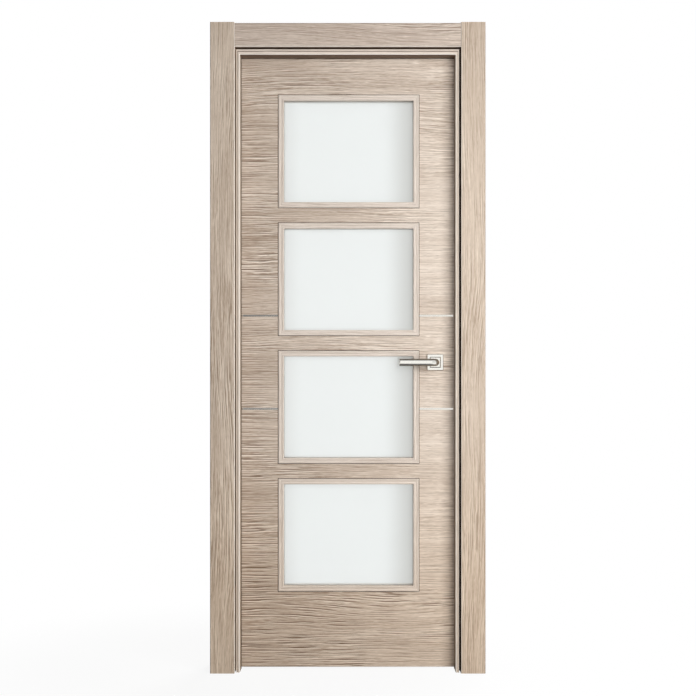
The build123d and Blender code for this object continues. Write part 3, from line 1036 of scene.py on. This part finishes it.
@dataclass
class LeverSet:
    """Bent round-bar levers, their spindle and their square rosettes."""

    bend: float = 0.018
    end_ease: float = 0.0015
    hold: float = 0.002
    sides: int = 64
    bend_steps: int = 20
    ease_steps: int = 5

    def build(self) -> None:
        """Bend both levers and finish every piece in satin nickel."""
        dress(SATIN_NICKEL, "satin_nickel", ["spindle", "front_rosette", "back_rosette"])
        bar_material = LEVER_NICKEL.material("lever_nickel")
        for side, outward in (("front", -1.0), ("back", 1.0)):
            lever = self._lever(f"{side}_lever_bar", f"{side}_lever", outward)
            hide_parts(f"{side}_lever")
            fasten(lever, "handle", bar_material)

    def _route(self, node: str, outward: float) -> list[tuple[Vector, Vector, float]]:
        """Stations along a lever, from its neck to its free end.

        Args:
            node: The solid that the lever stands for.
            outward: -1 for the push side, 1 for the pull side.

        Returns:
            Centre, direction and radius of each station.
        """
        low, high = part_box(node)
        height = (low.z + high.z) / 2
        radius = (high.z - low.z) / 2
        neck_x = high.x - radius
        seat, grip = (high.y, low.y + radius) if outward < 0 else (low.y, high.y - radius)
        out = Vector((0.0, outward, 0.0))
        back = Vector((-1.0, 0.0, 0.0))
        stations = [(Vector((neck_x, seat, height)), out, radius)]
        centre = Vector((neck_x - self.bend, grip - outward * self.bend, height))
        for step in range(self.bend_steps + 1):
            angle = math.pi / 2 * step / self.bend_steps
            spoke = out * math.sin(angle) - back * math.cos(angle)
            along = out * math.cos(angle) + back * math.sin(angle)
            stations.append((centre + self.bend * spoke, along, radius))
        for place in (centre.x - self.hold, low.x + self.end_ease + self.hold):
            stations.append((Vector((place, grip, height)), back, radius))
        for step in range(self.ease_steps + 1):
            angle = math.pi / 2 * step / self.ease_steps
            place = low.x + self.end_ease * (1 - math.sin(angle))
            width = radius - self.end_ease * (1 - math.cos(angle))
            stations.append((Vector((place, grip, height)), back, width))
        return stations

    def _lever(self, name: str, node: str, outward: float) -> bpy.types.Object:
        """One smooth bar along its route.

        Args:
            name: The piece's name.
            node: The solid that it stands for.
            outward: -1 for the push side, 1 for the pull side.

        Returns:
            The lever, linked to the scene.
        """
        mesh = bmesh.new()
        up = Vector((0.0, 0.0, 1.0))
        angles = [math.tau * index / self.sides for index in range(self.sides)]
        rings = []
        for centre, along, radius in self._route(node, outward):
            beside = along.cross(up)
            spokes = [math.cos(angle) * beside + math.sin(angle) * up for angle in angles]
            rings.append([mesh.verts.new(centre + radius * spoke) for spoke in spokes])
        for first, second in zip(rings, rings[1:]):
            for index in range(self.sides):
                mesh.faces.new((first[index - 1], first[index], second[index], second[index - 1]))
        mesh.faces.new(rings[0])
        mesh.faces.new(reversed(rings[-1]))
        return finished_piece(name, mesh)


@dataclass
class HingeSet:
    """Lift-off hinges with three screws in each plate."""

    count: int = 3
    jamb_face: float = 0.020
    leaf_face: float = 0.025
    half_height: float = 0.04
    screw_places: tuple[tuple[float, float], ...] = ((0.023, -0.029), (0.036, 0.0), (0.023, 0.029))
    screw: ScrewHead = ScrewHead()

    def build(self) -> None:
        """Finish the plates and drive their screws."""
        numbers = range(1, self.count + 1)
        halves = [f"hinge_{side}_half_{number}" for side in ("frame", "leaf") for number in numbers]
        dress(HINGE_STEEL, "hinge_steel", halves)
        material = HINGE_STEEL.material("hinge_screw_steel")
        sides = (("frame", self.jamb_face, 1.0), ("leaf", self.leaf_face, -1.0))
        for body, face, way in sides:
            for number in numbers:
                low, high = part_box(f"hinge_{body}_half_{number}")
                middle = low.z + self.half_height if body == "frame" else high.z - self.half_height
                centres = [Vector((face, depth, middle + height)) for depth, height in self.screw_places]
                screws = self.screw.piece(f"hinge_{body}_screws_{number}", centres, Vector((way, 0.0, 0.0)))
                fasten(screws, body, material)


@dataclass
class LatchSet:
    """Forend, bolt and strike plate with their screws."""

    forend_reach: float = 0.074
    strike_reach: float = 0.048
    screw: ScrewHead = ScrewHead()

    def build(self) -> None:
        """Finish the plates and drive their screws."""
        dress(HINGE_STEEL, "latch_steel", ["latch_forend", "latch_bolt", "strike_plate"])
        material = HINGE_STEEL.material("latch_screw_steel")
        low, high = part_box("latch_forend")
        middle = (low + high) / 2
        self._drive("latch_forend_screws", "leaf", high.x, middle, self.forend_reach, 1.0, material)
        low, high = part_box("strike_plate")
        middle = (low + high) / 2
        self._drive("strike_plate_screws", "frame", low.x, middle, self.strike_reach, -1.0, material)

    def _drive(
        self,
        name: str,
        body: str,
        face: float,
        middle: Vector,
        reach: float,
        way: float,
        material: bpy.types.Material,
    ) -> None:
        """Put one screw over and one under the latch.

        Args:
            name: Name of the pair.
            body: Body that the plate belongs to.
            face: The plate face's place across the doorway.
            middle: The plate's middle.
            reach: Height of each screw from the middle.
            way: 1 if the plate faces the lock side, -1 if the hinge side.
            material: What the screws are made of.
        """
        centres = [Vector((face, middle.y, middle.z + side * reach)) for side in (-1.0, 1.0)]
        screws = self.screw.piece(name, centres, Vector((way, 0.0, 0.0)))
        fasten(screws, body, material)


@dataclass(frozen=True)
class Softbox:
    """A large soft lamp aimed at the door."""

    name: str
    place: tuple[float, float, float]
    size: tuple[float, float]
    power: float
    target: tuple[float, float, float] = (DOORWAY_MIDDLE, 0.0, 1.05)

    def hang(self) -> None:
        """Put the lamp in the scene."""
        lamp = bpy.data.lights.new(self.name, "AREA")
        lamp.shape = "RECTANGLE"
        lamp.size, lamp.size_y = self.size
        lamp.energy = self.power
        softbox = bpy.data.objects.new(self.name, lamp)
        place = Vector(self.place)
        softbox.location = place
        softbox.rotation_euler = (Vector(self.target) - place).to_track_quat("-Z", "Y").to_euler()
        softbox.visible_camera = False
        softbox.visible_glossy = False
        softbox.visible_transmission = False
        bpy.context.scene.collection.objects.link(softbox)


@dataclass
class Studio:
    """White floor and sky, soft lamps round the door and the camera square to it."""

    picture_side: float = 696.0
    door_left: float = 210.0
    door_right: float = 485.6
    door_foot: float = 673.6
    distance: float = 4.036
    sensor: float = 36.0
    floor_reach: float = 9.0
    floor_veil: float = 0.89
    floor_white: Colour = srgb(244, 244, 244)
    floor_grey: Colour = srgb(122, 122, 122)
    veil_reach: Span = (0.4, 1.2)
    mirror_reach: Span = (0.9, 2.2)
    sky_fill: float = 0.12
    dark_wall: float = 0.2
    wall_top: Span = (0.97, 0.8)
    wall_foot: Span = (-0.6, -0.25)
    front: Span = (0.1, -0.1)
    bright_side: Span = (-0.05, 0.02)
    far_side: Span = (0.2, 0.5)
    far_dimming: float = 0.25
    lamps: tuple[Softbox, ...] = (
        Softbox("right_softbox", (1.5, -1.7, 1.2), (1.1, 2.4), 37.5),
        Softbox("front_softbox", (0.9, -5.0, 2.2), (3.0, 1.6), 108.0),
        Softbox("rear_softbox", (1.5, 3.4, 2.2), (2.2, 2.2), 150.0),
    )

    def build(self) -> None:
        """Set the floor, the sky, the lamps and the camera."""
        bpy.context.scene.view_settings.view_transform = "Standard"
        self._floor()
        self._sky()
        for lamp in self.lamps:
            lamp.hang()
        self._camera()

    def _floor(self) -> None:
        """Lay a white floor that keeps a faint shadow and fades into the sky."""
        mesh = bmesh.new()
        bmesh.ops.create_grid(mesh, x_segments=2, y_segments=2, size=self.floor_reach)
        data = bpy.data.meshes.new("studio_floor")
        mesh.to_mesh(data)
        mesh.free()
        material, recipe = new_material("studio_floor_white")
        seen = recipe.seen()
        place = recipe.add("ShaderNodeTexCoord")["Object"]
        away = recipe.add("ShaderNodeVectorMath", {"operation": "LENGTH"}, {0: place})["Value"]
        veil = self.floor_veil + recipe.step(away, *self.veil_reach) * (1 - self.floor_veil)
        colour = recipe.blend(seen, self.floor_grey, self.floor_white)
        matt = recipe.add("ShaderNodeBsdfDiffuse", inputs={"Color": colour})["BSDF"]
        glow = recipe.add("ShaderNodeEmission", inputs={"Color": WHITE, "Strength": 1.0})["Emission"]
        white = (seen * veil).larger(recipe.mirrored() * recipe.step(away, *self.mirror_reach))
        shader = recipe.add("ShaderNodeMixShader", inputs={0: white, 1: matt, 2: glow})[0]
        recipe.add("ShaderNodeOutputMaterial", inputs={"Surface": shader})
        data.materials.append(material)
        floor = bpy.data.objects.new("studio_floor", data)
        bpy.context.scene.collection.objects.link(floor)

    def _sky(self) -> None:
        """Show white to the camera, a studio to the metal, and light the door a little from everywhere."""
        world = bpy.data.worlds.new("studio_sky")
        world.use_nodes = True
        recipe = Recipe(world.node_tree)
        x, y, z = recipe.split(recipe.add("ShaderNodeTexCoord")["Generated"])
        level = recipe.step(z, *self.wall_top) * recipe.step(z, *self.wall_foot)
        lit = 1 - self.dark_wall
        dimming = 1 - self.far_dimming * recipe.step(x, *self.far_side)
        sides = (self.dark_wall + lit * recipe.step(x, *self.bright_side)) * dimming
        walls = (self.dark_wall + lit * level) * (1 - recipe.step(y, *self.front) * (1 - sides))
        plain = self.sky_fill + recipe.mirrored() * (walls - self.sky_fill)
        strength = plain + recipe.seen() * (1 - plain)
        inputs = {"Color": WHITE, "Strength": strength}
        light = recipe.add("ShaderNodeBackground", inputs=inputs)["Background"]
        recipe.add("ShaderNodeOutputWorld", inputs={"Surface": light})
        bpy.context.scene.world = world

    def _camera(self) -> None:
        """Stand the camera where the front architraves fill the picture as in the photograph."""
        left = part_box("front_architrave_left")[0]
        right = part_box("front_architrave_right")[1]
        pixel = (right.x - left.x) / (self.door_right - self.door_left)
        data = bpy.data.cameras.new("camera")
        data.sensor_fit = "HORIZONTAL"
        data.sensor_width = self.sensor
        data.lens = self.sensor * self.distance / (pixel * self.picture_side)
        camera = bpy.data.objects.new("camera", data)
        middle = self.picture_side / 2
        across = left.x + (middle - self.door_left) * pixel
        height = (self.door_foot - middle) * pixel
        camera.location = (across, left.y - self.distance, height)
        camera.rotation_euler = (math.pi / 2, 0.0, 0.0)
        bpy.context.scene.collection.objects.link(camera)
        bpy.context.scene.camera = camera


def main() -> None:
    """Dress the door, add its small fasteners and set the studio."""
    logging.basicConfig(level=logging.INFO, format="%(name)s %(message)s")
    Studio().build()
    DoorFrame().dress()
    Leaf().dress()
    Glazing().dress()
    LeverSet().build()
    HingeSet().build()
    LatchSet().build()


if __name__ == "__main__":
    main()
